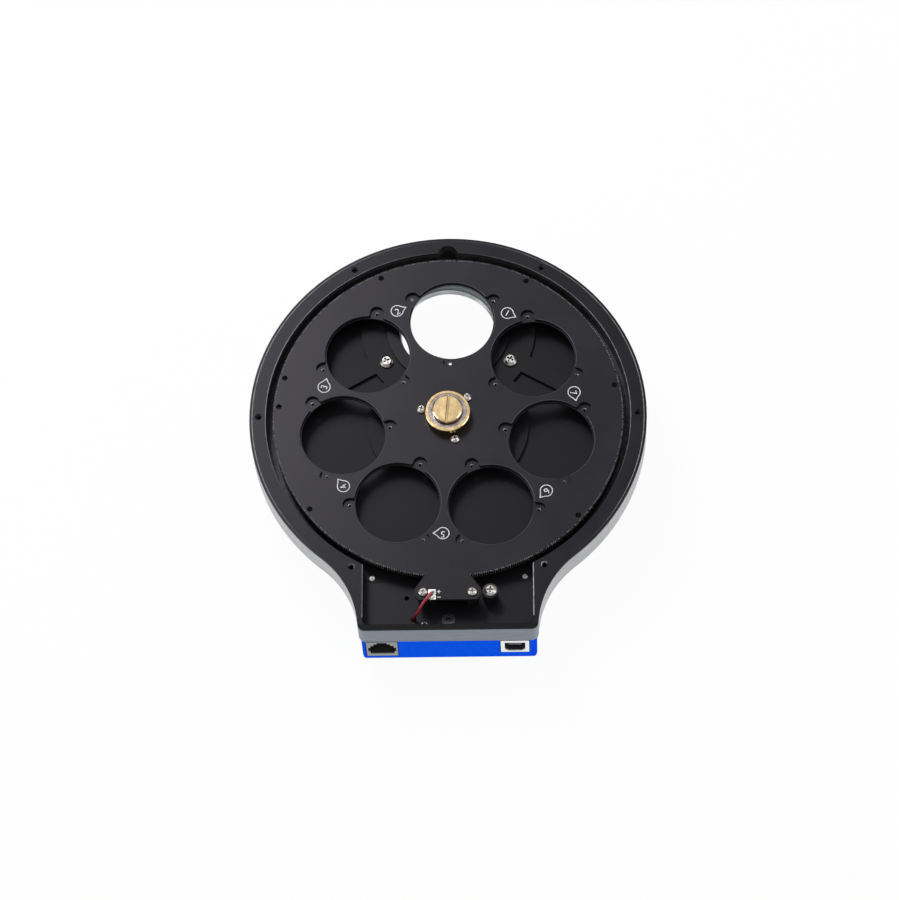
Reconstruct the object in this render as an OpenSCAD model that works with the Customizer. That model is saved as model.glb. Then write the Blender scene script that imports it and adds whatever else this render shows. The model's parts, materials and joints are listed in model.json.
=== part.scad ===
// Motorised optical filter wheel with seven 36 mm filter seats, front cover removed.
// The origin is on the wheel's axis, in the plane of the housing rim, with the light along Z.

/* [Housing] */
// Radius of the round outer wall
wall_r = 83.8; // [82:0.1:88]
// Radius of the concave sweep from the round wall into the neck
sweep_r = 42; // [36:1:48]
// Half the width of the neck at its front
neck_half = 37.2; // [37:0.1:38]
// Radius of the neck's front corners
neck_corner_r = 3; // [1.5:0.5:4]
// Height of the housing
housing_h = 13; // [12.6:0.1:14]
// Thickness of the housing floor
floor_t = 3.8; // [3.4:0.1:4]
// Depth of the lightening pockets in the floor
pocket_depth = 1.5; // [0.5:0.1:1.8]
// Chamfer round the top edge
rim_chamfer = 1; // [0.4:0.1:1.2]
// Inner radius of the round rim
tray_r = 76.9; // [76:0.1:77.4]
// Half the inner width of the neck
neck_inner_half = 35.2; // [34.4:0.1:35.4]
// Distance from the axis to the inner front wall
tray_front = 95.2; // [94:0.1:95.4]
// Chamfer on the inner edge of the neck
tray_chamfer = 0.4; // [0.2:0.1:0.5]
// Number of screws that hold the front cover
cover_screw_count = 6; // [3:1:8]
// Radius of the circle of cover screws
cover_screw_circle_r = 80; // [79.5:0.1:80.3]

/* [Light path] */
// Distance from the wheel's axis to the light path
path_offset = 45; // [44.5:0.1:45.5]
// Radius of the light path through the housing floor
path_bore_r = 21; // [20:0.1:22]
// Radius of the adapter ring's thread
adapter_thread_r = 20.6; // [19:0.1:20.8]
// Radius of the adapter ring's flange
adapter_flange_r = 34; // [33:0.5:35]
// Height of the adapter ring below the housing
adapter_h = 3.5; // [3:0.1:6]

/* [Filter carousel] */
// Number of filter seats
filter_count = 7; // [7:1:7]
// Radius of the seats for the filters
seat_r = 18.2; // [17.8:0.1:18.3]
// Depth of the seats
seat_depth = 1.5; // [1:0.1:1.8]
// Radius of the openings under the filters
aperture_r = 17.7; // [16:0.1:17.7]
// Thickness of the carousel
carousel_t = 2.6; // [2.4:0.1:3]
// Depth of the carousel's top face below the rim
carousel_drop = 1; // [0.9:0.1:1.2]
// Turn of the carousel from the position that centres a filter on the light path
rest_turn = -2.17; // [-25:0.01:25]
// Radius of the clamp lobes beside each seat
lobe_r = 3; // [2.6:0.1:3.2]
// Number of teeth on the carousel's rim
carousel_teeth = 492; // [492:12:492]

/* [Drive] */
// Module of the teeth
tooth_module = 0.3; // [0.3:0.05:0.3]
// Number of teeth on the motor pinion
pinion_teeth = 24; // [24:1:24]
// Amount by which each tooth is thinned for backlash
tooth_thinning = 0.07; // [0.04:0.01:0.1]
// Radius of the gearbox
gearbox_r = 8; // [7:0.5:8]
// Radius of the motor's output shaft
shaft_r = 1.5; // [1:0.1:1.5]

/* [Hub and bearing] */
// Outer radius of the brass hub
hub_r = 9.45; // [9.3:0.05:9.6]
// Outer radius of the ball bearing
bearing_outer_r = 8; // [8:0.1:8]
// Bore radius of the ball bearing
bearing_bore_r = 4; // [4:0.1:4]
// Width of the ball bearing
bearing_w = 5; // [5:0.1:5]
// Number of balls
ball_count = 9; // [6:1:10]
// Turn of the axle screw's slot
slot_turn = 85; // [0:1:180]

/* [Electronics box] */
// Half the width of the box
box_half = 36.5; // [36.2:0.1:36.8]
// Distance from the axis to the box's front
box_front = 97.2; // [96.8:0.1:97.4]
// Distance from the axis to the box's back
box_back = 50; // [46:1:51]
// Height of the box
box_h = 20; // [19:0.5:24]
// Wall thickness of the box
box_wall = 1.6; // [1.2:0.1:1.8]
// Radius of the box's upright corners
box_corner_r = 2.3; // [1.8:0.1:3]
// Radius of the box's lower edges
box_edge_r = 1.2; // [0.6:0.1:1.5]

/* [Sockets] */
// Width of the eight-way modular jack
jack_w = 13; // [12.6:0.1:13.2]
// Height of the modular jack
jack_h = 14.6; // [13.4:0.1:15]
// Distance of the modular jack's middle from the centre line
jack_x = -28; // [-28.2:0.1:-27.6]
// Width of the square USB socket
usb_w = 11.8; // [11.4:0.1:12.2]
// Height of the USB socket
usb_h = 12; // [11:0.1:12.6]
// Distance of the USB socket's middle from the centre line
usb_x = 27.3; // [27:0.1:28]
// Depth of both sockets
socket_depth = 15; // [13:0.5:16]

/* [Sensor board] */
// Level of the sensor board's underside
sensor_z = -0.3; // [-0.4:0.1:0]
// Half the distance between the sensor board's screws
ear_x = 10.15; // [9.8:0.05:10.5]
// Distance of those screws from the axis
ear_y = 81.7; // [81.4:0.1:82]
// Radius of the sensor board's ears
ear_r = 3.75; // [3.4:0.05:3.8]

/* [Hidden] */
$fn = 96;
fit = 0.05;
over = 1;
floor_z = -housing_h + floor_t;
pocket_z = floor_z - pocket_depth;
// Overlap of two arcs that run into each other, so that they cross and don't only touch
arc_overlap = 0.01;
sweep_x = neck_half + sweep_r;
sweep_y = -rounded(sqrt(pow(wall_r + sweep_r - arc_overlap, 2) - pow(sweep_x, 2)));
neck_corner = [
    rounded(sweep_x - sqrt(pow(sweep_r + neck_corner_r - arc_overlap, 2) - pow(neck_corner_r, 2))),
    sweep_y + neck_corner_r
];
corner_turn = atan2(sweep_y - neck_corner.y, sweep_x - neck_corner.x);
wall_turn = atan2(sweep_y, sweep_x);
inner_corner_r = 2.5;
collar_r = 26.3;
collar_z = floor_z + 1.2;
plateau_r = 37.2;
pocket_outer_r = 73;
pocket_inner_r = 34;
rib_turn = -30;
rib_w = 7.9;
rib_offset = 36.4;
pocket_low_turn = -32;
ring_screw_r = 30.6;
ring_screw_turns = [90, 210.5, 329.5];
cover_core_r = 1.05;
cover_sink_r = 1.5;
cover_hole_depth = 7;
boss_r = 5;
boss_z = -1.4;

carousel_top = -carousel_drop;
carousel_low = carousel_top - carousel_t;
carousel_pitch_r = tooth_module * carousel_teeth / 2;
pinion_pitch_r = tooth_module * pinion_teeth / 2;
pinion_y = -(carousel_pitch_r + pinion_pitch_r);
pressure_angle = 20;
seat_chamfer = 0.3;
lobe_out = 20;
lobe_blend_r = 0.9;
lobe_hole_r = 0.8;
magnet_circle_r = 71.65;
magnet_r = 1.2;
magnet_h = 1.5;
index_hole_turn = 176;

flange_r = 14;
flange_t = 2;
hub_top = 3.8;
hub_screw_r = 11.55;
hub_screw_turn = 45.4;
bearing_z = boss_z;
bearing_mid_z = bearing_z + bearing_w / 2;
bearing_top = bearing_z + bearing_w;
inner_race_r = 5.4;
outer_race_r = 6.9;
ball_circle_r = (bearing_bore_r + bearing_outer_r) / 2 + 0.15;
ball_r = 1;
groove_r = 1.07;
axle_head_r = 6.2;
axle_head_z = bearing_top + 0.4;
axle_head_h = 2;
axle_tip_r = 3;

box_top = -housing_h;
box_low = box_top - box_h;
box_floor_z = box_low + box_wall;
box_screw_at = [31.8, -70.8];
front_screw_y = -89.8;
lead_hole_at = [-14.4, -89.6];
spare_hole_at = [-9.96, -91.7];
dark_hole_at = [-17.3, -80];
post_at = [17.5, -80.3];
post_r = 3.2;
post_top = -1.2;
control_gap = 0.4;
control_t = 1.6;
control_top = box_top - control_gap;
control_low = control_top - control_t;
control_half = 33.5;
control_screws = [[-24, -57], [24, -57], [-17, -72], [17, -70]];
socket_back = -box_front + socket_depth;
gearbox_h = 8;
motor_r = 7.5;
motor_h = 9;
motor_boss_r = 3.5;
motor_boss_h = 2.4;
motor_screw_x = 6;
sensor_t = 1.6;
sensor_top = sensor_z + sensor_t;
sensor_low_y = -85.1;
sensor_high_y = -67.5;
sensor_high_half = 4.5;
standoff_r = 2.4;
lead_r = 0.6;
lead_hole_r = 1.2;
lead_sides = 8;
lead_route = [[-6.7, -82.3, 1.95], [-7.8, -83.8, 2.3], [-8.9, -85.3, 2.3], [-10.1, -86.5, 1.4],
    [-11.3, -87.9, -0.6], [-12.5, -89, -3.2], [-13.7, -89.5, -6.2], [-14.4, -89.6, -9.2],
    [-14.4, -89.6, -12], [-14.4, -89.6, -15]];

anodised = [0.2, 0.2, 0.22];
bare_metal = [0.74, 0.75, 0.77];
brass = [0.84, 0.7, 0.42];
box_blue = [0.1, 0.32, 0.84];
board_black = [0.12, 0.12, 0.13];

// ---- shared shapes ----

// Angle in degrees that an involute has unrolled through, at its pressure angle a
function unrolled(a) = tan(a) * 180 / PI - a;

// Half the angle that a tooth takes up at radius r
function tooth_half(teeth, r) =
    let (pitch_r = tooth_module * teeth / 2, base_r = pitch_r * cos(pressure_angle))
    90 / teeth - tooth_thinning / pitch_r * 90 / PI + unrolled(pressure_angle)
        - (r > base_r ? unrolled(acos(base_r / r)) : 0);

// Outline of a spur gear with a tooth centred on the angle first, its flanks through the radii
function gear_points(teeth, radii, first) =
    let (last = len(radii) - 1, turns = [for (i = [0 : teeth - 1]) first + i * 360 / teeth])
    [for (t = turns, k = [0 : 2 * last + 1])
        let (
            r = radii[k <= last ? k : 2 * last + 1 - k],
            a = t + (k <= last ? -1 : 1) * tooth_half(teeth, r)
        )
        [r * cos(a), r * sin(a)]];

// Length to the nearest micrometre
function rounded(x) = round(x * 1000) / 1000;

module at_turns(turns, r) {
    for (t = turns)
        rotate(t)
            translate([r, 0, 0])
                children();
}

module mirrored() {
    children();
    mirror([1, 0, 0])
        children();
}

module at_filters() {
    for (i = [0 : filter_count - 1])
        rotate(90 + rest_turn + i * 360 / filter_count)
            translate([path_offset, 0, 0])
                children();
}

// Tube between two levels
module tube(r_out, r_in, z0, z1) {
    translate([0, 0, z0])
        difference() {
            cylinder(r = r_out, h = z1 - z0);
            translate([0, 0, -over])
                cylinder(r = r_in, h = z1 - z0 + 2 * over);
        }
}

module rod(r, z0, z1) {
    translate([0, 0, z0])
        cylinder(r = r, h = z1 - z0);
}

// Cross recess of depth d, cut from the level z downwards
module cross_recess(w, d, z) {
    for (a = [0, 90])
        rotate(a)
            translate([-w / 2, -w / 8, z - d])
                cube([w, w / 4, d + over]);
}

// Screw with a domed pan head that sits on the level z, and its shank below
module pan_screw(head_r, head_h, shank_r, length, z) {
    edge_h = head_h * 0.45;
    dome_r = head_r * 0.62;
    difference() {
        rotate_extrude()
            polygon([[0, z - length], [shank_r, z - length], [shank_r, z], [head_r, z],
                [head_r, z + edge_h], [dome_r, z + head_h], [0, z + head_h]]);
        cross_recess(head_r * 1.05, head_h * 0.55, z + head_h);
    }
}

// ---- housing ----

// Plan of the housing: the round wall, the concave sweeps and the neck with its rounded corners
module housing_plan() {
    c = neck_corner;
    circle(r = wall_r);
    polygon([[0, 0], [-c.x, c.y], [-c.x, sweep_y], [c.x, sweep_y], c]);
    mirrored() {
        translate(c)
            circle(r = neck_corner_r);
        difference() {
            polygon([[0, 0], c, [sweep_x, sweep_y]]);
            translate([sweep_x, sweep_y])
                circle(r = sweep_r);
        }
    }
}

// Section that bevels an edge at x = 0 by c, with the metal to the left and the air to the right
module bevel_section(c) {
    polygon([[0, -c], [-c - 0.5, 0.5], [over, 0.5], [over, -c]]);
}

// Bevel of size c along an arc of radius r, over the metal inside the arc, or outside it
module arc_bevel(r, c, from, to, inside = true) {
    rotate(from)
        rotate_extrude(angle = to - from, $fn = 180)
            translate([r, 0])
                mirror([inside ? 0 : 1, 0])
                    bevel_section(c);
}

// Bevel of size c along a straight edge of the given length, along +X with the metal behind it
module edge_bevel(length, c) {
    rotate([90, 0, 90])
        linear_extrude(length)
            mirror([1, 0])
                bevel_section(c);
}

// What the bevel takes off the top edge of the housing, one stretch of the outline at a time.
// The sweeps' bevels run on past both ends, where they meet the convex ones.
module rim_bevel() {
    run_on = 3;
    arc_bevel(wall_r, rim_chamfer, wall_turn, 180 - wall_turn);
    mirrored() {
        translate([sweep_x, sweep_y, 0])
            arc_bevel(sweep_r, rim_chamfer, wall_turn + 180 - run_on, corner_turn + 180 + run_on, false);
        translate(neck_corner)
            arc_bevel(neck_corner_r, rim_chamfer, -90, corner_turn);
    }
    translate([-neck_corner.x, sweep_y, 0])
        edge_bevel(2 * neck_corner.x, rim_chamfer);
}

// Solid block of the housing
module housing_block() {
    difference() {
        translate([0, 0, -housing_h])
            linear_extrude(housing_h)
                housing_plan();
        rim_bevel();
    }
}

// Plan of the tray: the round well and the neck's well with its rounded corners
module tray_plan() {
    corner = [neck_inner_half - inner_corner_r, -tray_front + inner_corner_r];
    back_y = -tray_r * 0.8;
    circle(r = tray_r);
    polygon([[-neck_inner_half, back_y], [-neck_inner_half, corner.y], [-corner.x, corner.y],
        [-corner.x, -tray_front], [corner.x, -tray_front], corner, [neck_inner_half, corner.y],
        [neck_inner_half, back_y]]);
    mirrored()
        translate(corner)
            circle(r = inner_corner_r);
}

// What the bevel takes off the inner edge of the neck
module tray_bevel() {
    corner = [neck_inner_half - inner_corner_r, -tray_front + inner_corner_r];
    back_y = -tray_r * 0.8;
    mirrored() {
        translate([neck_inner_half, back_y, 0])
            rotate(-90)
                edge_bevel(back_y - corner.y, tray_chamfer);
        translate([corner.x, corner.y, 0])
            arc_bevel(inner_corner_r, tray_chamfer, -90, 0, false);
    }
    translate([corner.x, -tray_front, 0])
        rotate(180)
            edge_bevel(2 * corner.x, tray_chamfer);
}

// Plan of the two lightening pockets on the right, on either side of a slanting rib
module pocket_plan() {
    reach = 2 * pocket_outer_r;
    difference() {
        intersection() {
            circle(r = pocket_outer_r);
            rotate(rib_turn)
                translate([0, rib_offset + rib_w])
                    square([reach, reach]);
        }
        translate([0, path_offset])
            circle(r = plateau_r);
    }
    difference() {
        intersection() {
            circle(r = pocket_outer_r);
            rotate(pocket_low_turn)
                square([reach, reach]);
            rotate(rib_turn)
                translate([-reach, rib_offset - reach])
                    square([2 * reach, reach]);
            translate([pocket_inner_r / 2, -reach])
                square([reach, 2 * reach]);
        }
        circle(r = pocket_inner_r);
        translate([0, path_offset])
            circle(r = plateau_r);
    }
}

module housing() {
    relief_r = 4.35;
    color(anodised)
        difference() {
            union() {
                difference() {
                    housing_block();
                    translate([0, 0, floor_z])
                        linear_extrude(housing_h)
                            tray_plan();
                    tray_bevel();
                    translate([0, path_offset + 30.9, floor_z])
                        cylinder(r = relief_r, h = housing_h);
                    mirrored()
                        translate([0, 0, pocket_z])
                            linear_extrude(housing_h)
                                pocket_plan();
                }
                translate([0, path_offset, floor_z - 0.5])
                    cylinder(r = collar_r, h = collar_z - floor_z + 0.5);
                rod(boss_r, floor_z - 0.5, boss_z);
                for (p = control_screws)
                    translate([p.x, p.y, control_top])
                        cylinder(r = 3, h = control_gap + 0.5);
            }
            translate([0, path_offset, -housing_h - over])
                cylinder(r = path_bore_r, h = housing_h);
            translate([0, path_offset, 0])
                at_turns(ring_screw_turns, ring_screw_r)
                    rod(1.6, -housing_h - over, 0);
            at_turns([for (i = [0 : cover_screw_count - 1]) i * 360 / cover_screw_count],
                cover_screw_circle_r) {
                rod(cover_core_r, -cover_hole_depth, over);
                translate([0, 0, cover_core_r - cover_sink_r])
                    cylinder(r1 = cover_core_r, r2 = 2 * cover_sink_r - cover_core_r,
                        h = 2 * (cover_sink_r - cover_core_r));
            }
            rod(axle_tip_r, floor_z - 1, boss_z + over);
            translate([0, pinion_y, 0]) {
                rod(motor_boss_r + 0.1, -housing_h - over, floor_z + over);
                mirrored()
                    translate([motor_screw_x, 0, 0])
                        rod(1.1, -housing_h - over, floor_z + over);
            }
            mirrored()
                translate(box_screw_at)
                    rod(1.1, -housing_h - over, floor_z + over);
            translate([0, front_screw_y, 0]) {
                rod(1.6, -housing_h - over, floor_z + over);
                translate([0, 0, floor_z - 1.3])
                    cylinder(r1 = 1.5, r2 = 2.9, h = 1.4);
            }
            translate(lead_hole_at)
                rod(lead_hole_r, -housing_h - over, floor_z + over);
            translate(spare_hole_at)
                rod(1.25, floor_z - 3, floor_z + over);
            translate(dark_hole_at)
                rod(1, floor_z - 3, floor_z + over);
            translate(post_at)
                rod(1.25, floor_z - 3, floor_z + over);
            mirrored()
                translate([ear_x, -ear_y, 0])
                    rod(1, floor_z - 3, floor_z + over);
            for (p = control_screws)
                translate(p)
                    rod(1, control_top - over, floor_z - 1);
        }
}

module light_path_ring() {
    ring_low = -housing_h - adapter_h;
    color(bare_metal)
        translate([0, path_offset, 0])
            difference() {
                rotate_extrude()
                    polygon([[adapter_thread_r, ring_low], [adapter_flange_r - 0.6, ring_low],
                        [adapter_flange_r, ring_low + 0.6], [adapter_flange_r, -housing_h],
                        [adapter_thread_r, -housing_h]]);
                at_turns(ring_screw_turns, ring_screw_r)
                    rod(1.5, ring_low + 0.5, -housing_h + over);
            }
}

module ring_screws() {
    color(bare_metal)
        translate([0, path_offset, 0])
            at_turns(ring_screw_turns, ring_screw_r)
                pan_screw(2.9, 1.8, 1.5, floor_t + 2.8, floor_z);
}

// ---- filter carousel ----

// Plan of one seat: a circle with three lobes, each blended into it by two small arcs
module seat_plan() {
    a = seat_r + lobe_blend_r;
    b = lobe_r + lobe_blend_r;
    turn = acos((a * a + lobe_out * lobe_out - b * b) / (2 * a * lobe_out));
    circle(r = seat_r);
    for (t = [60, 180, 300])
        rotate(t) {
            translate([lobe_out, 0])
                circle(r = lobe_r, $fn = 48);
            for (s = [-1, 1])
                difference() {
                    polygon([[0, 0], [lobe_out, 0], [a * cos(turn), s * a * sin(turn)]]);
                    translate([a * cos(turn), s * a * sin(turn)])
                        circle(r = lobe_blend_r, $fn = 32);
                }
        }
}

module carousel() {
    tip_r = carousel_pitch_r + tooth_module;
    root_r = carousel_pitch_r - 1.25 * tooth_module;
    color(anodised)
        difference() {
            translate([0, 0, carousel_low])
                linear_extrude(carousel_t)
                    polygon(gear_points(carousel_teeth, [root_r, tip_r], -90));
            at_filters() {
                rod(aperture_r, carousel_low - over, carousel_top);
                translate([0, 0, carousel_top - seat_depth])
                    linear_extrude(seat_depth + over)
                        seat_plan();
                translate([0, 0, carousel_top - seat_chamfer])
                    cylinder(r1 = seat_r, r2 = seat_r + 2 * seat_chamfer, h = 2 * seat_chamfer);
                at_turns([60, 180, 300], lobe_out)
                    rod(lobe_hole_r, carousel_low - over, carousel_top);
            }
            at_magnets()
                rod(magnet_r, carousel_top - magnet_h, carousel_top + over);
            rotate(index_hole_turn)
                translate([magnet_circle_r, 0, 0])
                    rod(magnet_r, carousel_low - over, carousel_top + over);
            rod(hub_r, carousel_low - over, carousel_top + over);
            at_hub_screws()
                rod(1.1, carousel_low - over, carousel_top + over);
        }
}

// Places midway between the filters, on the circle of magnets
module at_magnets() {
    for (i = [0 : filter_count - 1])
        rotate(90 + rest_turn + (i + 0.5) * 360 / filter_count)
            translate([magnet_circle_r, 0, 0])
                children();
}

module at_hub_screws() {
    at_turns([for (i = [0 : 2]) hub_screw_turn + i * 120], hub_screw_r)
        children();
}

module index_magnets() {
    color([0.35, 0.35, 0.37])
        at_magnets()
            rod(magnet_r, carousel_top - magnet_h, carousel_top - 0.1);
}

// ---- hub and bearing ----

module hub() {
    edge = 0.3;
    color(brass)
        difference() {
            rotate_extrude()
                polygon([[6.5, carousel_low - flange_t], [flange_r, carousel_low - flange_t],
                    [flange_r, carousel_low], [hub_r, carousel_low], [hub_r, hub_top - edge],
                    [hub_r - edge, hub_top], [bearing_outer_r + 0.1, hub_top],
                    [bearing_outer_r, hub_top - 0.1], [bearing_outer_r, bearing_z], [6.5, bearing_z]]);
            at_hub_screws()
                rod(1, carousel_low - flange_t - over, carousel_low + over);
        }
}

module hub_screws() {
    color(bare_metal)
        at_hub_screws()
            pan_screw(1.85, 1.5, 1, carousel_t + flange_t - 0.3, carousel_top);
}

// One race of the bearing, with the groove that the balls run in
module race(r_in, r_out) {
    color(bare_metal)
        difference() {
            tube(r_out, r_in, bearing_z, bearing_top);
            rotate_extrude()
                translate([ball_circle_r, bearing_mid_z])
                    circle(r = groove_r, $fn = 48);
        }
}

module bearing_outer_race() {
    race(outer_race_r, bearing_outer_r);
}

module bearing_inner_race() {
    race(bearing_bore_r, inner_race_r);
}

module at_balls() {
    at_turns([for (i = [0 : ball_count - 1]) i * 360 / ball_count], ball_circle_r)
        translate([0, 0, bearing_mid_z])
            children();
}

module bearing_balls() {
    color(bare_metal)
        at_balls()
            sphere(r = ball_r, $fn = 32);
}

module bearing_cage() {
    color(brass)
        difference() {
            tube(ball_circle_r + 0.4, ball_circle_r - 0.35, bearing_mid_z - 1.4, bearing_mid_z + 1.4);
            at_balls()
                sphere(r = ball_r + fit, $fn = 32);
        }
}

module axle_spacer() {
    color(bare_metal)
        tube(boss_r, bearing_bore_r, bearing_top, axle_head_z);
}

module axle_screw() {
    slot_w = 1.1;
    slot_depth = 1;
    top = axle_head_z + axle_head_h;
    edge = 0.4;
    color(brass)
        difference() {
            rotate_extrude()
                polygon([[0, floor_z - 0.6], [axle_tip_r, floor_z - 0.6], [axle_tip_r, bearing_z],
                    [bearing_bore_r, bearing_z], [bearing_bore_r, axle_head_z],
                    [axle_head_r, axle_head_z], [axle_head_r, top - edge], [axle_head_r - edge, top],
                    [0, top]]);
            rotate(slot_turn)
                translate([-axle_head_r - over, -slot_w / 2, top - slot_depth])
                    cube([2 * axle_head_r + 2 * over, slot_w, slot_depth + over]);
        }
}

// ---- drive ----

module drive_pinion() {
    tip_r = pinion_pitch_r + tooth_module;
    root_r = pinion_pitch_r - 1.25 * tooth_module;
    base_r = pinion_pitch_r * cos(pressure_angle);
    steps = 4;
    radii = concat([root_r], [for (i = [0 : steps]) base_r + (tip_r - base_r) * i / steps]);
    color(brass)
        translate([0, pinion_y, 0])
            difference() {
                union() {
                    translate([0, 0, carousel_low - 0.4])
                        linear_extrude(carousel_t + 0.6)
                            polygon(gear_points(pinion_teeth, radii, 90 + 180 / pinion_teeth));
                    rod(2.8, carousel_low - 2, carousel_low - 0.4);
                }
                rod(shaft_r, carousel_low - 3, 0);
            }
}

module motor_shaft() {
    color(bare_metal)
        translate([0, pinion_y, 0])
            rod(shaft_r, -housing_h + 0.5, carousel_top + 0.3);
}

module motor_gearbox() {
    color([0.7, 0.66, 0.55])
        translate([0, pinion_y, 0])
            difference() {
                union() {
                    rod(gearbox_r, -housing_h - gearbox_h, -housing_h);
                    rod(motor_boss_r, -housing_h - 0.5, -housing_h + motor_boss_h);
                }
                rod(shaft_r + fit, -housing_h + 0.3, 0);
                mirrored()
                    translate([motor_screw_x, 0, 0])
                        rod(1, -housing_h - 2.5, -housing_h + over);
            }
}

module drive_motor() {
    low = -housing_h - gearbox_h - motor_h;
    color(bare_metal)
        translate([0, pinion_y, 0])
            union() {
                rod(motor_r, low, -housing_h - gearbox_h);
                rod(2.5, low - 0.8, low + 0.5);
            }
}

module motor_screws() {
    color(bare_metal)
        translate([0, pinion_y, 0])
            for (s = [-1, 1])
                translate([s * motor_screw_x, 0, 0])
                    pan_screw(1.85, 1.3, 1, floor_t + 2.2, floor_z);
}

// ---- electronics box ----

// Plan of the box's outside, with rounded upright corners
module box_plan(inset) {
    r = box_corner_r - inset;
    x = box_half - inset - r;
    y0 = -box_front + inset + r;
    y1 = -box_back - inset - r;
    translate([-x - r, y0])
        square([2 * (x + r), y1 - y0]);
    translate([-x, y0 - r])
        square([2 * x, y1 - y0 + 2 * r]);
    for (px = [-x, x], py = [y0, y1])
        translate([px, py])
            circle(r = r);
}

// Upright profile of width w with its two lower corners rounded, drawn from its own middle
module box_profile(w) {
    r = box_edge_r;
    translate([-w / 2, r])
        square([w, box_h - r]);
    translate([-w / 2 + r, 0])
        square([w - 2 * r, r + over]);
    for (s = [-1, 1])
        translate([s * (w / 2 - r), r])
            circle(r = r);
}

module electronics_box() {
    length = box_front - box_back;
    mid_y = -(box_front + box_back) / 2;
    gap = 0.3;
    color(box_blue)
        difference() {
            union() {
                difference() {
                    intersection() {
                        translate([0, 0, box_low])
                            linear_extrude(box_h)
                                box_plan(0);
                        translate([0, mid_y + length / 2 + over, box_low])
                            rotate([90, 0, 0])
                                linear_extrude(length + 2 * over)
                                    box_profile(2 * box_half);
                        translate([-box_half - over, mid_y, box_low])
                            rotate([90, 0, 90])
                                linear_extrude(2 * box_half + 2 * over)
                                    box_profile(length);
                    }
                    translate([0, 0, box_floor_z])
                        linear_extrude(box_h)
                            box_plan(box_wall);
                }
                mirrored()
                    translate(box_screw_at)
                        rod(3, box_floor_z - 0.5, box_top);
                translate([0, front_screw_y, 0])
                    rod(3, box_floor_z - 0.5, box_top);
            }
            mirrored()
                translate(box_screw_at) {
                    rod(1.1, box_low - over, box_top + over);
                    rod(2.2, box_low - over, box_low + 3);
                }
            translate([0, front_screw_y, 0])
                rod(1.5, box_top - 8, box_top + over);
            translate([jack_x - jack_w / 2 - gap, -box_front - over, control_low - jack_h - gap])
                cube([jack_w + 2 * gap, box_wall + 2 * over, box_h]);
            translate([usb_x - usb_w / 2 - gap, -box_front - over, control_low - usb_h - gap])
                cube([usb_w + 2 * gap, box_wall + 2 * over, box_h]);
        }
}

module box_screws() {
    color(bare_metal)
        for (s = [-1, 1])
            translate([s * box_screw_at.x, box_screw_at.y, 0])
                difference() {
                    union() {
                        rod(1.1, box_low + 3, floor_z);
                        rod(2, box_low + 0.8, box_low + 3);
                    }
                    cross_recess(2, 1, box_low + 0.8 + 1);
                }
}

module box_front_screw() {
    hex_r = 1.15;
    color(board_black)
        translate([0, front_screw_y, 0])
            difference() {
                rotate_extrude()
                    polygon([[0, box_top - 7.5], [1.5, box_top - 7.5], [1.5, floor_z - 1.3],
                        [2.75, floor_z - 0.05], [2.75, floor_z], [0, floor_z]]);
                translate([0, 0, floor_z - 1])
                    cylinder(r = hex_r, h = 2, $fn = 6);
            }
}

module control_board() {
    color([0.1, 0.3, 0.2])
        difference() {
            translate([-control_half, -94.8, control_low])
                cube([2 * control_half, 41.8, control_t]);
            translate([0, pinion_y, 0])
                rod(gearbox_r + 1, control_low - over, box_top);
            translate([-3.6, -96, control_low - over])
                cube([7.2, 12, control_t + 2 * over]);
            mirrored()
                translate(box_screw_at)
                    rod(3.5, control_low - over, box_top);
            translate(lead_hole_at)
                rod(lead_r + 0.3, control_low - over, box_top);
            for (p = control_screws)
                translate(p)
                    rod(1.1, control_low - over, box_top);
        }
}

module control_board_screws() {
    color(bare_metal)
        for (p = control_screws)
            translate([p.x, p.y, 0])
                mirror([0, 0, 1])
                    pan_screw(1.85, 1.3, 1, control_t + 2.6, -control_low);
}

// ---- sockets ----

// Stepped opening of the modular jack, from its top edge down
module jack_opening() {
    rows = [[0.8, 2.2, 4.2], [2.2, 4, 7], [4, 6, 9.8], [6, 9.8, 11.7], [9.8, 12.1, 10]];
    for (row = rows)
        translate([-row[2] / 2, -row[1] - 0.01])
            square([row[2], row[1] - row[0] + 0.02]);
}

module modular_jack() {
    opening_depth = 12;
    color(bare_metal)
        difference() {
            translate([jack_x - jack_w / 2, -box_front, control_low - jack_h])
                cube([jack_w, socket_depth, jack_h]);
            translate([jack_x, -box_front + opening_depth, control_low])
                rotate([90, 0, 0])
                    linear_extrude(opening_depth + over)
                        jack_opening();
        }
}

module jack_contacts() {
    contact_count = 8;
    pitch = 1.02;
    z = control_low - 11.4;
    color(brass)
        for (i = [0 : contact_count - 1])
            translate([jack_x + (i - (contact_count - 1) / 2) * pitch - 0.2, socket_back - 3, z]) {
                translate([0, -7, 1.6])
                    cube([0.4, 7, 0.4]);
                translate([0, -7, 0])
                    cube([0.4, 0.4, 1.8]);
            }
}

// Opening of the USB socket, with its two lower corners cut off
module usb_opening() {
    half = 4.25;
    cut = 1.6;
    polygon([[-half, -2], [half, -2], [half, -10.6 + cut], [half - cut, -10.6],
        [-half + cut, -10.6], [-half, -10.6 + cut]]);
}

module usb_shell() {
    opening_depth = 10;
    color(bare_metal)
        difference() {
            translate([usb_x - usb_w / 2, -box_front, control_low - usb_h])
                cube([usb_w, socket_depth, usb_h]);
            translate([usb_x, -box_front + opening_depth, control_low])
                rotate([90, 0, 0])
                    linear_extrude(opening_depth + over)
                        usb_opening();
        }
}

module usb_tongue() {
    tongue_w = 5.4;
    tongue_h = 3.3;
    color([0.6, 0.6, 0.6])
        translate([usb_x - tongue_w / 2, -box_front + 1.2, control_low - 3.4 - tongue_h])
            cube([tongue_w, 8.8, tongue_h]);
}

// ---- sensor board in the neck ----

module guide_post() {
    color(board_black)
        translate(post_at)
            tube(post_r, 1.25, floor_z, post_top);
}

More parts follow.
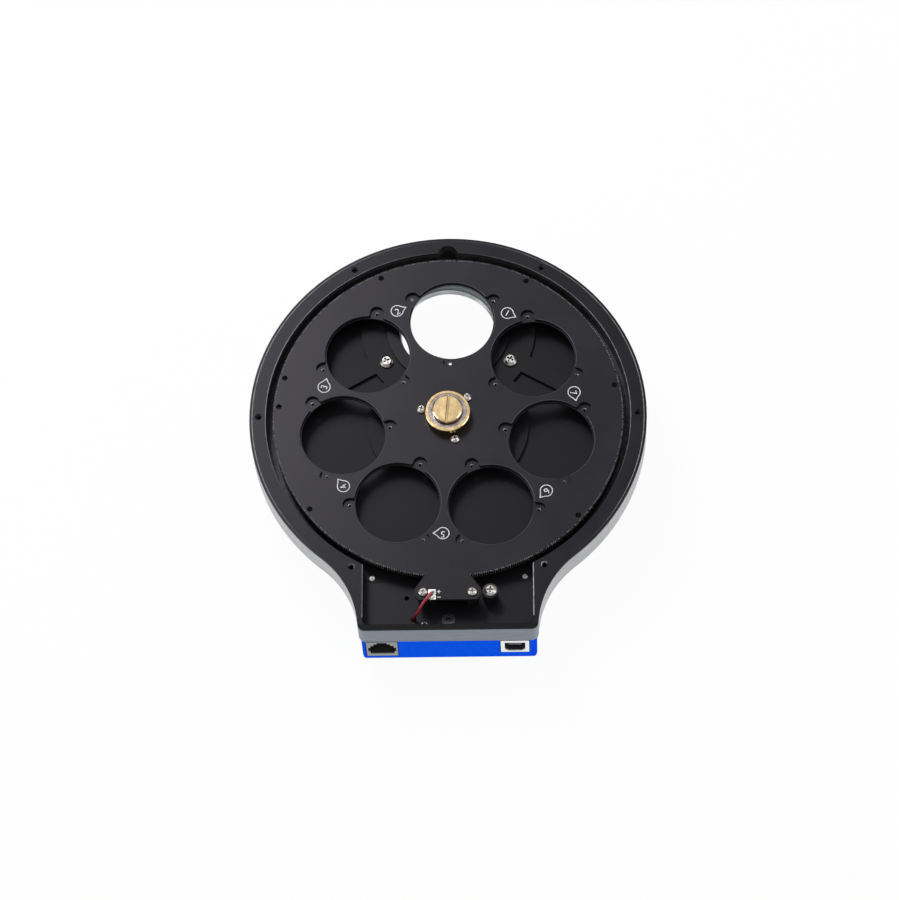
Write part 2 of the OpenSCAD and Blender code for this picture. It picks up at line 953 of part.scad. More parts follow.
module post_screw() {
    color(bare_metal)
        translate([post_at.x, post_at.y, 0])
            pan_screw(2.6, 1.5, 1.25, 6, post_top);
}

// Plan of the board: two round ears joined to a neck that narrows towards the wheel
module sensor_plan() {
    hull() {
        mirrored()
            translate([ear_x, -ear_y])
                circle(r = ear_r, $fn = 32);
        translate([-sensor_high_half, sensor_high_y - 0.5])
            square([2 * sensor_high_half, 0.5]);
    }
}

module sensor_board() {
    color(board_black)
        difference() {
            translate([0, 0, sensor_z])
                linear_extrude(sensor_t)
                    intersection() {
                        sensor_plan();
                        translate([-20, sensor_low_y])
                            square([40, 20]);
                    }
            mirrored()
                translate([ear_x, -ear_y, 0])
                    rod(1.1, sensor_z - over, sensor_top + over);
        }
}

module board_standoffs() {
    color(brass)
        for (s = [-1, 1])
            translate([s * ear_x, -ear_y, 0])
                tube(standoff_r, 1, floor_z, sensor_z);
}

module board_screws() {
    color(bare_metal)
        for (s = [-1, 1])
            translate([s * ear_x, -ear_y, 0])
                pan_screw(1.9, 1.3, 1, sensor_t + 5, sensor_top);
}

module hall_sensor() {
    color(board_black)
        translate([-1.5, -72.4, sensor_z - 0.4])
            cube([3, 1.5, 0.4]);
}

module lead_pad() {
    color([0.75, 0.74, 0.7])
        translate([-8, -83, sensor_top])
            cube([3.1, 2.4, 0.05]);
}

// ---- red lead ----

function unit(v) = v / norm(v);

// Direction of the route at its point i
function heading(p, i) = unit(p[min(i + 1, len(p) - 1)] - p[max(i - 1, 0)]);

// Ring of points round the route's point i, with one axis kept level
function lead_ring(p, i) =
    let (
        d = heading(p, i),
        side = unit(cross(d, [1, -1, 0])),
        up = cross(side, d)
    )
    [for (k = [0 : lead_sides - 1])
        let (a = k * 360 / lead_sides)
        p[i] + lead_r * (cos(a) * side + sin(a) * up)];

module red_lead() {
    n = len(lead_route);
    points = [for (i = [0 : n - 1]) each lead_ring(lead_route, i)];
    sides = [for (i = [0 : n - 2], k = [0 : lead_sides - 1])
        let (k2 = (k + 1) % lead_sides, a = i * lead_sides, b = a + lead_sides)
        [a + k, a + k2, b + k2, b + k]];
    ends = [[for (k = [lead_sides - 1 : -1 : 0]) k],
        [for (k = [0 : lead_sides - 1]) (n - 1) * lead_sides + k]];
    color([0.85, 0.1, 0.1])
        polyhedron(points, concat(sides, ends));
}

housing();
light_path_ring();
ring_screws();
carousel();
index_magnets();
hub();
hub_screws();
bearing_outer_race();
bearing_inner_race();
bearing_balls();
bearing_cage();
axle_spacer();
axle_screw();
drive_pinion();
motor_shaft();
motor_gearbox();
drive_motor();
motor_screws();
electronics_box();
box_screws();
box_front_screw();
control_board();
control_board_screws();
modular_jack();
jack_contacts();
usb_shell();
usb_tongue();
guide_post();
post_screw();
sensor_board();
board_standoffs();
board_screws();
hall_sensor();
lead_pad();
red_lead();
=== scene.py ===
# Looks of a motorised filter wheel with its tray open. Sizes are in mm, and times mm gives metres.
import json
import math

import bmesh
import bpy
from mathutils import Matrix, Vector


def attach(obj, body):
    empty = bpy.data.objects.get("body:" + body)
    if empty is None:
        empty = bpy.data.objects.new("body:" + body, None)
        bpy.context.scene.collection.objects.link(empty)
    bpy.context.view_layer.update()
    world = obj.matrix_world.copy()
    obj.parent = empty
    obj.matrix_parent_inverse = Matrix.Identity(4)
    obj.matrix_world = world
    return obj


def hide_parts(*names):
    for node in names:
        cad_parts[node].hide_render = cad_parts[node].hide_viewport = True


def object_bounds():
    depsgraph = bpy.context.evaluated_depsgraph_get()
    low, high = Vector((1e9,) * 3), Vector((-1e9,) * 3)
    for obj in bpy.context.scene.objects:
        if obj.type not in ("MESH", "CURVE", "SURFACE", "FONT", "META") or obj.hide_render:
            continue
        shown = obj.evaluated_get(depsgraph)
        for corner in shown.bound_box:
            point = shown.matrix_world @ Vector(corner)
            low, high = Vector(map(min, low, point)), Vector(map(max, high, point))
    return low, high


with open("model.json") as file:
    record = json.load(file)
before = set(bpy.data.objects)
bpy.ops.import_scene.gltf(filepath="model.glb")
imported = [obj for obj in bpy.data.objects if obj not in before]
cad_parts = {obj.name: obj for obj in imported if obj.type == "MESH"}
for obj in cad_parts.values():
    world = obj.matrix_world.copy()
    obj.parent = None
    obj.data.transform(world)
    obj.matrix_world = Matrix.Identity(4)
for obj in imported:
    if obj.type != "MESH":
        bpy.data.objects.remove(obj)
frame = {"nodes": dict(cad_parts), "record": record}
cadBox = [list(corner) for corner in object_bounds()]
mm = 0.001
# Upright axes off the wheel's own, in mm
lightPath = (0, 45)
motorAxis = (0, -77.4)


class Signal:
    # a node's output that takes part in arithmetic: each step adds a Math node
    def __init__(self, wiring, socket):
        self.wiring = wiring
        self.socket = socket

    def math(self, operation, *values):
        return self.wiring.add("ShaderNodeMath", {"operation": operation}, dict(enumerate(values)))

    def __add__(self, other):
        return self.math("ADD", self, other)

    def __radd__(self, other):
        return self.math("ADD", other, self)

    def __sub__(self, other):
        return self.math("SUBTRACT", self, other)

    def __rsub__(self, other):
        return self.math("SUBTRACT", other, self)

    def __mul__(self, other):
        return self.math("MULTIPLY", self, other)

    def __rmul__(self, other):
        return self.math("MULTIPLY", other, self)

    def __truediv__(self, other):
        return self.math("DIVIDE", self, other)

    def __rtruediv__(self, other):
        return self.math("DIVIDE", other, self)

    def __pow__(self, other):
        return self.math("POWER", self, other)

    def above(self, level):
        return self.math("GREATER_THAN", self, level)

    def below(self, level):
        return self.math("LESS_THAN", self, level)

    # 1 between the two levels, 0 elsewhere
    def within(self, low, high):
        return self.above(low) * self.below(high)

    def size(self):
        return self.math("ABSOLUTE", self)

    def sine(self):
        return self.math("SINE", self)

    def cosine(self):
        return self.math("COSINE", self)

    def most(self, other):
        return self.math("MAXIMUM", self, other)

    # 0 at start, 1 at end, eased in between
    def ease(self, start, end):
        settings = {"interpolation_type": "SMOOTHSTEP"}
        return self.wiring.add("ShaderNodeMapRange", settings, {0: self, 1: start, 2: end})

    # low where the signal is 0, and more by span where it is 1
    def lift(self, low, span):
        return self * span + low


class Wiring:
    # a node tree, a material's or one of Geometry Nodes, whose nodes all come from add
    def __init__(self, tree):
        self.tree = tree

    # adds a node: its settings come first, then the values or links of its sockets
    def add(self, kind, settings=None, values=None, output=0):
        node = self.tree.nodes.new(kind)
        for name, value in (settings or {}).items():
            setattr(node, name, value)
        for key, value in (values or {}).items():
            if isinstance(value, Signal):
                self.tree.links.new(value.socket, node.inputs[key])
            else:
                node.inputs[key].default_value = value
        return Signal(self, node.outputs[output]) if node.outputs else None


class Finish(Wiring):
    # a material with the place on the piece at hand: x, y and z in mm
    def __init__(self, name):
        self.material = bpy.data.materials.new(name)
        self.material.use_nodes = True
        super().__init__(self.material.node_tree)
        self.tree.nodes.clear()
        self.place = self.add("ShaderNodeTexCoord", output="Object")
        axes = self.add("ShaderNodeSeparateXYZ", {}, {0: self.place}).socket.node.outputs
        self.x = Signal(self, axes[0]) / mm
        self.y = Signal(self, axes[1]) / mm
        self.z = Signal(self, axes[2]) / mm

    # distance in mm from an upright axis at cx, cy
    def radius(self, cx=0.0, cy=0.0):
        return ((self.x - cx) ** 2 + (self.y - cy) ** 2) ** 0.5

    # noise with features of about the given size in mm, longer along an axis by stretch
    def noise(self, feature, detail=2.0, stretch=(1, 1, 1)):
        spread = [1 / (feature * mm * s) for s in stretch]
        spot = self.add("ShaderNodeMapping", {}, {"Vector": self.place, "Scale": spread})
        return self.add("ShaderNodeTexNoise", {}, {"Vector": spot, "Scale": 1.0, "Detail": detail})

    # first where factor is 0, second where it is 1; sockets 6 and 7 take colours, and output 2 gives one
    def mix(self, factor, first, second):
        values = {0: factor, 6: first, 7: second}
        return self.add("ShaderNodeMix", {"data_type": "RGBA"}, values, 2)

    def bump(self, height, depth, strength):
        values = {"Height": height, "Distance": depth * mm, "Strength": strength}
        return self.add("ShaderNodeBump", {}, values)

    # 1 in the open and towards 0 in a recess that is about as wide as reach, in mm
    def openness(self, reach):
        return self.add("ShaderNodeAmbientOcclusion", {"samples": 8}, {"Distance": reach * mm}, "AO")

    def shade(self, values):
        surface = self.add("ShaderNodeBsdfPrincipled", {}, values)
        self.add("ShaderNodeOutputMaterial", {}, {"Surface": surface})
        return self.material


# Black anodising: tones, sizes of its patterns in mm, and what each one adds to the roughness
anodise = {
    "dark": (0.0042, 0.0040, 0.0051, 1), "light": (0.0112, 0.0106, 0.0132, 1),
    "tint": (0.94, 0.9, 1.0, 1), "grain": 0.16, "grainDepth": 0.006, "grainStrength": 0.35,
    "speck": 0.55, "speckLevels": (0.25, 0.75), "speckShare": 0.45,
    "cloud": 26, "cloudLevels": (0.3, 0.7), "cloudShare": 0.55,
    "rough": 0.26, "roughCloud": 0.1, "roughGrain": 0.06, "specular": 0.155, "housing": 0.118,
}


# A fine blasted grain under slow clouds of tone
def blackAnodise(finish):
    grain = finish.noise(anodise["grain"])
    cloud = finish.noise(anodise["cloud"], detail=3)
    speck = finish.noise(anodise["speck"]).ease(*anodise["speckLevels"])
    tone = cloud.ease(*anodise["cloudLevels"]) * anodise["cloudShare"] + speck * anodise["speckShare"]
    colour = finish.mix(tone, anodise["dark"], anodise["light"])
    rough = anodise["rough"] + cloud * anodise["roughCloud"] + grain * anodise["roughGrain"]
    return colour, rough, finish.bump(grain, anodise["grainDepth"], anodise["grainStrength"])


# Where the wheel's edges lie, in mm, and how strongly each shows its wear and painted highlight; skin
# keeps a flat face out of its edge
wheelZones = {
    "top": -1.0, "chamferLow": -1.29, "chamferWearAndHighlight": 0.5, "ledge": -2.5, "ledgeEdge": 0.16,
    "ledgeWearAndHighlight": 0.6, "skin": 0.004, "turning": 0.9, "turningPatch": 3, "turningRough": 0.02,
    "toothRoot": 73.43, "toothGlintSize": 1.1, "toothLevels": (0.38, 0.56),
    "wearAndPaintedLight": (0.115, 0.115, 0.122, 1), "toothGlintTone": (0.15, 0.15, 0.155, 1),
}


# Black with worn edges under a painted highlight, faint turning marks, and painted glints on the tops of
# the teeth
def carouselFinish():
    finish = Finish("carouselAnodised")
    zone = wheelZones
    colour, rough, normal = blackAnodise(finish)
    turned = finish.radius() * (2 * math.pi / zone["turning"])
    rings = finish.noise(zone["turningPatch"]) * turned.sine()
    chamfer = finish.z.within(zone["chamferLow"], zone["top"] - zone["skin"])
    ledge = finish.z.within(zone["ledge"] - zone["ledgeEdge"], zone["ledge"] - zone["skin"])
    # painted glints, flecks of highlight on the tops of the teeth
    glintFlecks = finish.noise(zone["toothGlintSize"]).ease(*zone["toothLevels"])
    teeth = finish.radius().above(zone["toothRoot"]) * glintFlecks
    # wear and a painted highlight on the chamfers and on the edge of the seats' ledges
    wearAndPaintedLight = chamfer * zone["chamferWearAndHighlight"] + ledge * zone["ledgeWearAndHighlight"]
    colour = finish.mix(wearAndPaintedLight, colour, zone["wearAndPaintedLight"])
    colour = finish.mix(teeth, colour, zone["toothGlintTone"])
    return finish.shade({"Base Color": colour, "Roughness": rough + rings * zone["turningRough"],
        "Normal": normal, "Specular IOR Level": anodise["specular"], "Specular Tint": anodise["tint"]})


# Where the housing's surfaces lie, in mm
housingZones = {
    "trayWall": 80.0, "neckWall": 36.2, "neckEnd": -96.3, "rim": -1.03, "underside": -12.96,
    "bore": 21.06, "neckChamfer": (-0.41, -0.01), "neckSide": 34.9, "neckSideRun": (-92.0, -60.0),
    "rimLine": (82.45, 82.82), "rimLineRun": (-66.0, -28.0), "trayLine": (76.8, 77.2),
    "trayLineRun": (-45.0, 15.0), "lineLow": -0.05, "wallReach": 84.0, "frontRim": -95.1,
    "floor": -9.15, "floorFront": -73.0, "notch": 6.0, "notchRun": (70.0, 83.0), "trough": (73.9, 77.2),
}
# How strongly each zone shows its painted light: highlights on the edges, a lift in the gap round the
# teeth, and shade on the front rim and the floor. A pair is the least share and what the patches add, or
# for neckSides the left side's share and what the right side adds.
housingPaintedLight = {
    "feature": 2.5, "levels": (0.35, 0.65), "line": (0.5, 0.4), "neckEdge": (0.55, 0.4),
    "neckSides": (0.55, 0.45), "trough": (0.6, 0.4), "troughMetal": 0.45, "frontRim": 0.6,
    "frontRimRough": 0.3, "floor": 0.45, "floorRough": 0.14,
    "lineHighlightTone": (0.27, 0.27, 0.275, 1), "neckHighlightTone": (0.42, 0.42, 0.45, 1),
    "troughLiftTone": (0.075, 0.075, 0.079, 1), "shadeTone": (0.001, 0.001, 0.001, 1),
}
# The front wall's tone is the flank's with painted shade
bareWall = {
    "flank": (0.52, 0.53, 0.53, 1), "front": (0.27, 0.295, 0.335, 1), "frontFrom": -95.0,
    "bore": (0.25, 0.285, 0.29, 1), "streak": 0.5, "stretch": (16, 16, 1), "streakLevels": (0.3, 0.7),
    "streakShade": 0.14, "rough": 0.42, "roughStreak": 0.1, "metal": 0.25,
}


# Black inside and on the rim, bare metal on the outer walls, the underside and the light path
def housingFinish():
    finish = Finish("housingAnodised")
    zone, wearAndPaintedLight = housingZones, housingPaintedLight
    x, y, z = finish.x, finish.y, finish.z
    colour, rough, normal = blackAnodise(finish)
    neck = x.size().below(zone["neckWall"]) * y.within(zone["neckEnd"], 0)
    notch = x.size().below(zone["notch"]) * y.within(*zone["notchRun"])
    inside = finish.radius().below(zone["trayWall"]).most(neck).most(notch)
    bare = ((1 - inside) * z.below(zone["rim"])).most(z.below(zone["underside"]))
    bore = finish.radius(*lightPath).below(zone["bore"])
    shown = bare.most(bore)
    # patches that vary the painted light below
    patchiness = finish.noise(wearAndPaintedLight["feature"], detail=3).ease(*wearAndPaintedLight["levels"])
    # painted highlights along the edges of the rim, patchy and strongest at the sides
    rimLine = finish.radius().within(*zone["rimLine"]) * y.ease(*zone["rimLineRun"])
    trayLine = finish.radius().within(*zone["trayLine"]) * y.ease(*zone["trayLineRun"])
    lines = rimLine.most(trayLine) * z.above(zone["lineLow"]) * (x.size() / zone["wallReach"])
    colour = finish.mix(lines * patchiness.lift(*wearAndPaintedLight["line"]), colour, wearAndPaintedLight["lineHighlightTone"])
    # a painted highlight on the chamfer along the neck's sides, brighter on the right
    side = x.size().above(zone["neckSide"]) * y.within(*zone["neckSideRun"])
    neckEdge = inside * z.within(*zone["neckChamfer"]) * side * x.above(0).lift(*wearAndPaintedLight["neckSides"])
    colour = finish.mix(neckEdge * patchiness.lift(*wearAndPaintedLight["neckEdge"]), colour, wearAndPaintedLight["neckHighlightTone"])
    # bare walls with drawn streaks, painted shade on the front wall, and the bore of the light path
    drawn = finish.noise(bareWall["streak"], stretch=bareWall["stretch"])
    streak = drawn.ease(*bareWall["streakLevels"])
    wall = finish.mix(y.below(bareWall["frontFrom"]), bareWall["flank"], bareWall["front"])
    wall = finish.mix(streak * bareWall["streakShade"], wall, (0, 0, 0, 1))
    colour = finish.mix(bare, colour, wall)
    colour = finish.mix(bore, colour, bareWall["bore"])
    # painted light in the narrow gap round the teeth and in the notch, lifting their shade
    trough = (finish.radius().within(*zone["trough"]) * (1 - neck)).most(notch)
    trough = trough * z.below(zone["rim"]) * (1 - shown)
    colour = finish.mix(trough * patchiness.lift(*wearAndPaintedLight["trough"]), colour, wearAndPaintedLight["troughLiftTone"])
    # painted shade on the front rim and the tray's floor, the blackest places
    frontRim = y.below(zone["frontRim"]) * (1 - shown)
    low = z.below(zone["floor"]) * y.above(zone["floorFront"]) * (1 - shown)
    shade = frontRim * wearAndPaintedLight["frontRim"] + low * wearAndPaintedLight["floor"]
    colour = finish.mix(shade, colour, wearAndPaintedLight["shadeTone"])
    wallRough = streak.lift(bareWall["rough"], bareWall["roughStreak"])
    dull = frontRim * wearAndPaintedLight["frontRimRough"] + low * wearAndPaintedLight["floorRough"]
    rough = rough * (1 - shown) + shown * wallRough + dull
    metal = shown * bareWall["metal"] + trough * wearAndPaintedLight["troughMetal"]
    return finish.shade({"Base Color": colour, "Roughness": rough, "Metallic": metal, "Normal": normal,
        "Specular IOR Level": anodise["housing"], "Specular Tint": anodise["tint"]})


# A share of a tone's brightness
def darker(tone, share):
    return tuple(c * share for c in tone[:3]) + (1,)


turning = {
    "smudge": 3.2, "levels": (0.3, 0.7), "smudgeShare": 0.7, "ringShare": 0.3, "grain": 0.12,
    "openLevels": (0.35, 0.95), "recessShadeTone": 0.12, "roughSmudge": 0.06, "depth": 0.001, "strength": 0.4,
}


# Turned or ground metal: rings about an upright axis over a fine grain
def turnedMetal(name, light, dark, rough, centre=(0, 0), pitch=0.22, recess=0.0):
    finish = Finish(name)
    turned = finish.radius(*centre) * (2 * math.pi / pitch)
    rings = turned.sine() * 0.5 + 0.5
    smudge = finish.noise(turning["smudge"], detail=3).ease(*turning["levels"])
    colour = finish.mix(smudge * turning["smudgeShare"] + rings * turning["ringShare"], dark, light)
    # painted shade down in recesses
    if recess:
        recessShade = 1 - finish.openness(recess).ease(*turning["openLevels"])
        colour = finish.mix(recessShade, colour, darker(dark, turning["recessShadeTone"]))
    height = rings + finish.noise(turning["grain"])
    return finish.shade({"Base Color": colour, "Roughness": rough + smudge * turning["roughSmudge"],
        "Metallic": 1.0, "Normal": finish.bump(height, turning["depth"], turning["strength"])})


plating = {
    "smudge": 1.4, "levels": (0.3, 0.7), "grain": 0.2, "openLevels": (0.3, 0.9), "recessShadeTone": 0.08,
    "roughSmudge": 0.1, "depth": 0.001, "strength": 0.4,
}


# Plated small parts, with painted shade down in their recesses
def platedMetal(name, light, dark, rough, metal=0.95, recess=0.9):
    finish = Finish(name)
    smudge = finish.noise(plating["smudge"], detail=3).ease(*plating["levels"])
    colour = finish.mix(smudge, dark, light)
    recessShade = 1 - finish.openness(recess).ease(*plating["openLevels"])
    colour = finish.mix(recessShade, colour, darker(dark, plating["recessShadeTone"]))
    grain = finish.noise(plating["grain"])
    return finish.shade({"Base Color": colour, "Roughness": rough + smudge * plating["roughSmudge"],
        "Metallic": metal, "Normal": finish.bump(grain, plating["depth"], plating["strength"])})


moulding = {"cloud": 4.0, "levels": (0.3, 0.7), "roughCloud": 0.1, "depth": 0.004, "strength": 0.6}


# Moulded plastic, lacquered boards and insulation
def mouldedPlastic(name, light, dark, rough, grain=0.3, specular=0.4):
    finish = Finish(name)
    tone = finish.noise(moulding["cloud"], detail=3).ease(*moulding["levels"])
    normal = finish.bump(finish.noise(grain), moulding["depth"], moulding["strength"])
    return finish.shade({"Base Color": finish.mix(tone, dark, light), "Normal": normal,
        "Roughness": rough + tone * moulding["roughCloud"], "Specular IOR Level": specular})


boxTone = {
    "light": (0.013, 0.178, 0.79, 1), "dark": (0.007, 0.142, 0.67, 1), "grazing": (0.02, 0.16, 1.0, 1),
    "cloud": 1.8, "levels": (0.25, 0.75), "grain": 0.15, "rough": 0.34, "roughCloud": 0.03,
    "roughGrain": 0.05, "metal": 0.97, "depth": 0.006, "strength": 0.35,
}


# Blue anodised metal
def boxFinish():
    finish = Finish("boxBlue")
    cloud = finish.noise(boxTone["cloud"], detail=4).ease(*boxTone["levels"])
    grain = finish.noise(boxTone["grain"])
    rough = boxTone["rough"] + cloud * boxTone["roughCloud"] + grain * boxTone["roughGrain"]
    return finish.shade({"Base Color": finish.mix(cloud, boxTone["dark"], boxTone["light"]),
        "Roughness": rough, "Metallic": boxTone["metal"], "Specular Tint": boxTone["grazing"],
        "Normal": finish.bump(grain, boxTone["depth"], boxTone["strength"])})


socketTone = {
    "mouth": -96.7, "jack": (0.27, 0.28, 0.27, 1), "usb": (0.93, 0.93, 0.94, 1),
    "inside": (0.006, 0.006, 0.007, 1), "metal": 0.8, "dirt": 1.2, "dirtLevels": (0.3, 0.75),
    "dirtShare": 0.12, "dirtTone": (0.16, 0.16, 0.17, 1), "rough": 0.34, "roughMouth": 0.3,
    "roughDirt": 0.08, "grain": 0.25, "depth": 0.004, "strength": 0.5,
}
tongueTone = {
    "top": -21.05, "dark": (0.26, 0.27, 0.28, 1), "light": (0.36, 0.37, 0.38, 1), "cloud": 1.5,
    "levels": (0.3, 0.7), "rough": 0.45, "roughCloud": 0.1, "grain": 0.3,
}


# The tongue shows its contacts' carrier below, under a dark upper edge
def tongueFinish():
    finish = Finish("socketTongue")
    tone = finish.noise(tongueTone["cloud"], detail=3).ease(*tongueTone["levels"])
    face = finish.mix(tone, tongueTone["dark"], tongueTone["light"])
    colour = finish.mix(finish.z.above(tongueTone["top"]), face, socketTone["inside"])
    rough = tongueTone["rough"] + tone * tongueTone["roughCloud"]
    grain = finish.noise(tongueTone["grain"])
    return finish.shade({"Base Color": colour, "Roughness": rough,
        "Normal": finish.bump(grain, socketTone["depth"], socketTone["strength"])})


# The tinned face of a socket, and its dark plastic inside
def socketFinish():
    finish = Finish("socketShell")
    mouth = finish.y.above(socketTone["mouth"])
    dirt = finish.noise(socketTone["dirt"], detail=3).ease(*socketTone["dirtLevels"])
    face = finish.mix(finish.x.above(0), socketTone["jack"], socketTone["usb"])
    face = finish.mix(dirt * socketTone["dirtShare"], face, socketTone["dirtTone"])
    rough = socketTone["rough"] + mouth * socketTone["roughMouth"] + dirt * socketTone["roughDirt"]
    grain = finish.noise(socketTone["grain"])
    return finish.shade({"Base Color": finish.mix(mouth, face, socketTone["inside"]), "Roughness": rough,
        "Metallic": (1 - mouth) * socketTone["metal"],
        "Normal": finish.bump(grain, socketTone["depth"], socketTone["strength"])})


# One finish for each material slot, by its name, light tone, dark tone and roughness
finishes = {
    "housing_anodised": housingFinish(),
    "carousel_anodised": carouselFinish(),
    "adapter_aluminium": turnedMetal("adapterAluminium", (0.62, 0.64, 0.65, 1), (0.45, 0.47, 0.48, 1),
        0.3, lightPath, pitch=0.5),
    "black_screw": platedMetal("blackScrew", (0.06, 0.06, 0.065, 1), (0.03, 0.03, 0.034, 1), 0.3),
    "bright_screw": platedMetal("brightScrew", (0.38, 0.36, 0.34, 1), (0.24, 0.23, 0.215, 1), 0.25),
    "bearing_steel": turnedMetal("bearingSteel", (0.36, 0.33, 0.34, 1), (0.22, 0.20, 0.20, 1), 0.13),
    "hub_brass": turnedMetal("hubBrass", (0.61, 0.45, 0.24, 1), (0.51, 0.37, 0.185, 1), 0.13,
        pitch=0.16, recess=0.8),
    "gearbox_metal": turnedMetal("gearboxMetal", (0.62, 0.50, 0.27, 1), (0.45, 0.36, 0.2, 1), 0.35,
        motorAxis, pitch=0.4),
    "motor_can": turnedMetal("motorCan", (0.6, 0.6, 0.61, 1), (0.45, 0.45, 0.46, 1), 0.3,
        motorAxis, pitch=0.6),
    "box_blue": boxFinish(),
    "control_board_green": mouldedPlastic("controlBoardGreen", (0.012, 0.085, 0.035, 1),
        (0.008, 0.055, 0.024, 1), 0.35),
    "socket_shell": socketFinish(),
    "socket_tongue": tongueFinish(),
    "contact_brass": platedMetal("contactBrass", (0.8, 0.6, 0.28, 1), (0.6, 0.42, 0.16, 1), 0.25),
    "post_black": mouldedPlastic("postBlack", (0.010, 0.010, 0.011, 1), (0.006, 0.006, 0.007, 1),
        0.36, specular=0.25),
    "sensor_board_black": mouldedPlastic("sensorBoardBlack", (0.0070, 0.0066, 0.0100, 1),
        (0.0060, 0.0057, 0.0082, 1), 0.38, grain=0.5, specular=0.14),
    "chip_black": mouldedPlastic("chipBlack", (0.02, 0.02, 0.02, 1), (0.012, 0.012, 0.012, 1), 0.5),
    "tinned_pad": platedMetal("tinnedPad", (0.62, 0.60, 0.58, 1), (0.42, 0.41, 0.40, 1),
        0.34, metal=0.85, recess=0.5),
    "lead_red": mouldedPlastic("leadRed", (0.33, 0.018, 0.030, 1), (0.21, 0.010, 0.018, 1),
        0.3, grain=0.5, specular=0.5),
    # the magnets are painted near black, as the shade down in their holes
    "magnet_metal": mouldedPlastic("magnetMetal", (0.003, 0.003, 0.0034, 1), (0.001, 0.001, 0.001, 1),
        0.5, specular=0.02),
    "cage_brass": platedMetal("cageBrass", (0.7, 0.5, 0.22, 1), (0.5, 0.34, 0.14, 1), 0.35),
    "pinion_brass": turnedMetal("pinionBrass", (0.78, 0.56, 0.26, 1), (0.6, 0.4, 0.17, 1), 0.28,
        motorAxis),
}
markFinish = mouldedPlastic("markWhite", (0.74, 0.74, 0.73, 1), (0.52, 0.52, 0.52, 1), 0.6, grain=0.2)
dullScrew = platedMetal("dullScrew", (0.46, 0.45, 0.43, 1), (0.10, 0.10, 0.10, 1), 0.3, metal=0.8)
shieldFinish = turnedMetal("shieldSteel", (0.25, 0.21, 0.25, 1), (0.13, 0.11, 0.13, 1), 0.13)
print("finishes:", len(finishes) + 3)


# Faces that meet at less than this turn are shaded as one curve
smoothTurn = math.radians(28)


# A Geometry Nodes tree with named inputs
class Recipe(Wiring):
    def __init__(self, name, inputs):
        super().__init__(bpy.data.node_groups.new(name, "GeometryNodeTree"))
        self.tree.is_modifier = True
        interface = self.tree.interface
        interface.new_socket("Geometry", in_out="INPUT", socket_type="NodeSocketGeometry")
        self.identifiers = {}
        for label, kind in inputs.items():
            socket = interface.new_socket(label, in_out="INPUT", socket_type="NodeSocket" + kind)
            self.identifiers[label] = socket.identifier
        interface.new_socket("Geometry", in_out="OUTPUT", socket_type="NodeSocketGeometry")
        self.entry = self.tree.nodes.new("NodeGroupInput")

    def input(self, label):
        return Signal(self, self.entry.outputs[label])

    def serve(self, geometry):
        self.add("NodeGroupOutput", {}, {"Geometry": geometry})

    # puts the tree on an object as a modifier, with its inputs set
    def dress(self, thing, sizes):
        modifier = thing.modifiers.new(self.tree.name, "NODES")
        modifier.node_group = self.tree
        for label, value in sizes.items():
            modifier[self.identifiers[label]] = value
        return modifier


# Joins the loose triangles of a frame node and shades its curves smooth
def softShadeRecipe():
    recipe = Recipe("softShade", {"Merge Distance": "Float", "Sharp Turn": "Float"})
    merged = recipe.add("GeometryNodeMergeByDistance", {}, {"Geometry": recipe.input("Geometry"),
        "Distance": recipe.input("Merge Distance")})
    rounded = recipe.add("GeometryNodeSetShadeSmooth", {"domain": "FACE"}, {"Geometry": merged,
        "Shade Smooth": True})
    turn = recipe.add("GeometryNodeInputMeshEdgeAngle")
    sharp = recipe.add("FunctionNodeCompare", {"operation": "GREATER_THAN"}, {0: turn,
        1: recipe.input("Sharp Turn")})
    recipe.serve(recipe.add("GeometryNodeSetShadeSmooth", {"domain": "EDGE"}, {"Geometry": rounded,
        "Selection": sharp, "Shade Smooth": False}))
    return recipe


# Copies of one source on a circle, each turned with its place on it
def ringRecipe():
    recipe = Recipe("ringOfCopies", {"Source": "Object", "Finish": "Material", "Count": "Int",
        "Radius": "Float", "First Turn": "Float", "Copy Turn": "Float"})
    index = recipe.add("GeometryNodeInputIndex")
    turn = recipe.input("First Turn") + index * 2 * math.pi / recipe.input("Count")
    radius = recipe.input("Radius")
    spot = recipe.add("ShaderNodeCombineXYZ", {}, {0: turn.cosine() * radius, 1: turn.sine() * radius})
    points = recipe.add("GeometryNodePoints", {}, {"Count": recipe.input("Count"), "Position": spot})
    source = recipe.add("GeometryNodeObjectInfo", {}, {"Object": recipe.input("Source")}, "Geometry")
    facing = recipe.add("ShaderNodeCombineXYZ", {}, {2: turn + recipe.input("Copy Turn")})
    copies = recipe.add("GeometryNodeInstanceOnPoints", {}, {"Points": points, "Instance": source,
        "Rotation": facing})
    solid = recipe.add("GeometryNodeRealizeInstances", {}, {"Geometry": copies})
    recipe.serve(recipe.add("GeometryNodeSetMaterial", {}, {"Geometry": solid,
        "Material": recipe.input("Finish")}))
    return recipe


softShade = softShadeRecipe()
ringOfCopies = ringRecipe()


def newPiece(name, mesh):
    piece = bpy.data.objects.new(name, mesh)
    bpy.context.scene.collection.objects.link(piece)
    return piece


# A closed mesh from points in mm, with its faces outward and its gentle edges smooth
def solidMesh(name, points, faces):
    shape = bmesh.new()
    spots = [shape.verts.new(Vector(p) * mm) for p in points]
    for face in faces:
        shape.faces.new([spots[i] for i in face])
    bmesh.ops.recalc_face_normals(shape, faces=shape.faces)
    for face in shape.faces:
        face.smooth = True
    for edge in shape.edges:
        edge.smooth = edge.calc_face_angle(0) < smoothTurn
    mesh = bpy.data.meshes.new(name)
    shape.to_mesh(mesh)
    shape.free()
    return mesh


